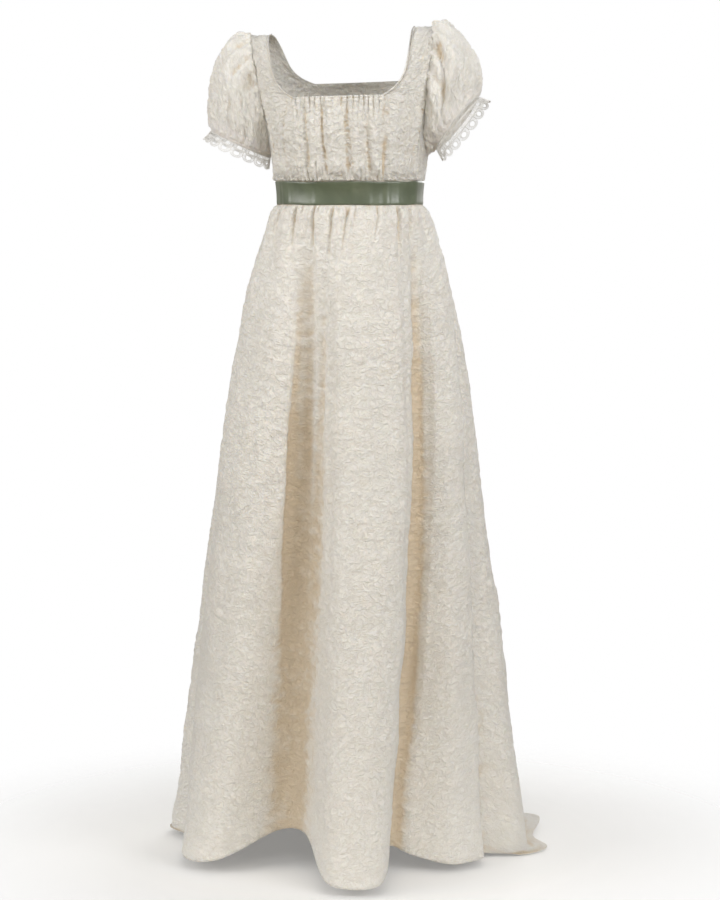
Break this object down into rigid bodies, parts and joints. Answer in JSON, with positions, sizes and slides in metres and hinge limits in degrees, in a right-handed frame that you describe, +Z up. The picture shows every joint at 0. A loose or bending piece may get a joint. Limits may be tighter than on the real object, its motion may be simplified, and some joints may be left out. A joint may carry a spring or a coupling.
{
  "type": "regency gown",
  "caption": "High-waisted long gown with square neckline, gathered bodice, puff sleeves with lace cuffs, ribbon sash and a folded skirt with a small train, worn open as a hollow form.",
  "frame": {"origin": "midway between the two shoulder straps, where the wearer's shoulders carry the gown", "axes": "+Z up along the gown's length, front facing -Y, +X to the right of the picture, which is the wearer's left"},
  "size_m": [0.7119, 0.892, 1.4723],
  "materials": {
    "cloth": "ivory crinkled jacquard with a soft satin sheen",
    "lace": "white scalloped cotton lace",
    "ribbon": "sage green satin ribbon"
  },
  "bodies": {
    "root": {"bodice_front": "cloth", "bodice_back": "cloth", "sleeve_right": "cloth", "sleeve_left": "cloth", "lace_right_front": "lace", "lace_right_back": "lace", "lace_left_front": "lace", "lace_left_back": "lace", "ribbon": "ribbon", "skirt_front": "cloth", "skirt_back": "cloth"}
  },
  "joints": []
}
